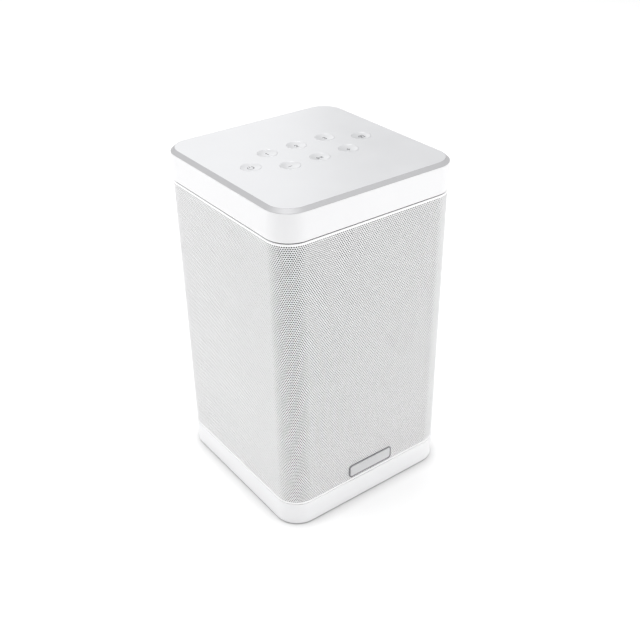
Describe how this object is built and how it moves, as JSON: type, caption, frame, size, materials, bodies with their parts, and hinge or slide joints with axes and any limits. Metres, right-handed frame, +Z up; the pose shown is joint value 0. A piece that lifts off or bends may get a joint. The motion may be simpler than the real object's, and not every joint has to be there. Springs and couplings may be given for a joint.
{
  "type": "smart speaker",
  "caption": "Square white table speaker with a wrapped perforated grille, a plain base and cap, and a silver top panel with round dished keys.",
  "frame": {"origin": "on the floor under the middle of the column, at the feet's underside", "axes": "+Z up, front grille with the badge towards -Y, the power key towards -X"},
  "size_m": [0.128, 0.1288, 0.222],
  "materials": {
    "white_plastic": "satin, moulded",
    "white_sheet": "white powder coat on perforated steel",
    "silver_panel": "fine satin with a bright bevel",
    "silver_keys": "silver satin",
    "badge_metal": "brushed",
    "rubber": "matte",
    "silicone": "translucent matte",
    "black_cloth": "open weave",
    "black_plastic": "fine grain",
    "wadding": "loose fibre",
    "screw_steel": "zinc plated",
    "bright_steel": "plated",
    "frame_paint": "black powder coat on pressed steel",
    "ferrite": "matte sintered",
    "cone_paper": "pressed pulp",
    "dust_cap_plastic": "satin",
    "spider_cloth": "resin treated weave",
    "coil_copper": "enamelled copper wire",
    "circuit_board": "solder resist",
    "heat_sink_aluminium": "plain extrusion",
    "lead_insulation": "soft sheath"
  },
  "bodies": {
    "enclosure": {"base": "white_plastic", "top_cap": "white_plastic", "rear_panel": "white_plastic", "grille": "white_sheet", "top_panel": "silver_panel", "badge": "badge_metal", "feet": "rubber", "woofer_gasket": "rubber", "woofer_surround": "rubber", "cabinet_gasket": "rubber", "key_mat": "silicone", "grille_cloth": "black_cloth", "cabinet": "black_plastic", "front_baffle": "black_plastic", "port_tube": "black_plastic", "mains_inlet": "black_plastic", "line_socket": "black_plastic", "tweeter_plate": "black_plastic", "damping_pad": "wadding", "case_screws": "screw_steel", "driver_screws": "screw_steel", "rear_screws": "screw_steel", "board_screws": "screw_steel", "woofer_top_plate": "bright_steel", "woofer_yoke": "bright_steel", "tweeter_top_plate": "bright_steel", "tweeter_yoke": "bright_steel", "usb_socket": "bright_steel", "network_socket": "bright_steel", "wireless_module": "bright_steel", "inlet_pins": "bright_steel", "woofer_frame": "frame_paint", "woofer_magnet": "ferrite", "tweeter_magnet": "ferrite", "transformer": "ferrite", "capacitors": "dust_cap_plastic", "woofer_spider": "spider_cloth", "control_board": "circuit_board", "main_board": "circuit_board", "power_board": "circuit_board", "heat_sink": "heat_sink_aluminium", "driver_leads": "lead_insulation", "control_ribbon": "lead_insulation"},
    "key_power_body": {"key_power": "silver_keys"},
    "key_one_body": {"key_one": "silver_keys"},
    "key_two_body": {"key_two": "silver_keys"},
    "key_three_body": {"key_three": "silver_keys"},
    "key_source_body": {"key_source": "silver_keys"},
    "key_minus_body": {"key_minus": "silver_keys"},
    "key_play_body": {"key_play": "silver_keys"},
    "key_plus_body": {"key_plus": "silver_keys"},
    "woofer_motion": {"woofer_cone": "cone_paper", "woofer_dust_cap": "dust_cap_plastic", "woofer_coil": "coil_copper"},
    "tweeter_motion": {"tweeter_dome": "spider_cloth", "tweeter_coil": "coil_copper"}
  },
  "joints": [
    {"name": "key_power_press", "type": "slide", "parent": "enclosure", "child": "key_power_body", "axis": [0, 0, -1], "range_m": [0, 0.0006], "stiffness_N_per_m": 800, "springref_m": -0.001, "deforming": ["key_mat"]},
    {"name": "key_one_press", "type": "slide", "parent": "enclosure", "child": "key_one_body", "axis": [0, 0, -1], "range_m": [0, 0.0006], "stiffness_N_per_m": 800, "springref_m": -0.001, "deforming": ["key_mat"]},
    {"name": "key_two_press", "type": "slide", "parent": "enclosure", "child": "key_two_body", "axis": [0, 0, -1], "range_m": [0, 0.0006], "stiffness_N_per_m": 800, "springref_m": -0.001, "deforming": ["key_mat"]},
    {"name": "key_three_press", "type": "slide", "parent": "enclosure", "child": "key_three_body", "axis": [0, 0, -1], "range_m": [0, 0.0006], "stiffness_N_per_m": 800, "springref_m": -0.001, "deforming": ["key_mat"]},
    {"name": "key_source_press", "type": "slide", "parent": "enclosure", "child": "key_source_body", "axis": [0, 0, -1], "range_m": [0, 0.0006], "stiffness_N_per_m": 800, "springref_m": -0.001, "deforming": ["key_mat"]},
    {"name": "key_minus_press", "type": "slide", "parent": "enclosure", "child": "key_minus_body", "axis": [0, 0, -1], "range_m": [0, 0.0006], "stiffness_N_per_m": 800, "springref_m": -0.001, "deforming": ["key_mat"]},
    {"name": "key_play_press", "type": "slide", "parent": "enclosure", "child": "key_play_body", "axis": [0, 0, -1], "range_m": [0, 0.0006], "stiffness_N_per_m": 800, "springref_m": -0.001, "deforming": ["key_mat"]},
    {"name": "key_plus_press", "type": "slide", "parent": "enclosure", "child": "key_plus_body", "axis": [0, 0, -1], "range_m": [0, 0.0006], "stiffness_N_per_m": 800, "springref_m": -0.001, "deforming": ["key_mat"]},
    {"name": "woofer_travel", "type": "slide", "parent": "enclosure", "child": "woofer_motion", "axis": [0, -1, 0], "range_m": [-0.003, 0.003], "stiffness_N_per_m": 1500, "deforming": ["woofer_surround", "woofer_spider"]},
    {"name": "tweeter_travel", "type": "slide", "parent": "enclosure", "child": "tweeter_motion", "axis": [0, -1, 0], "range_m": [-0.0003, 0.0003], "stiffness_N_per_m": 3000}
  ]
}
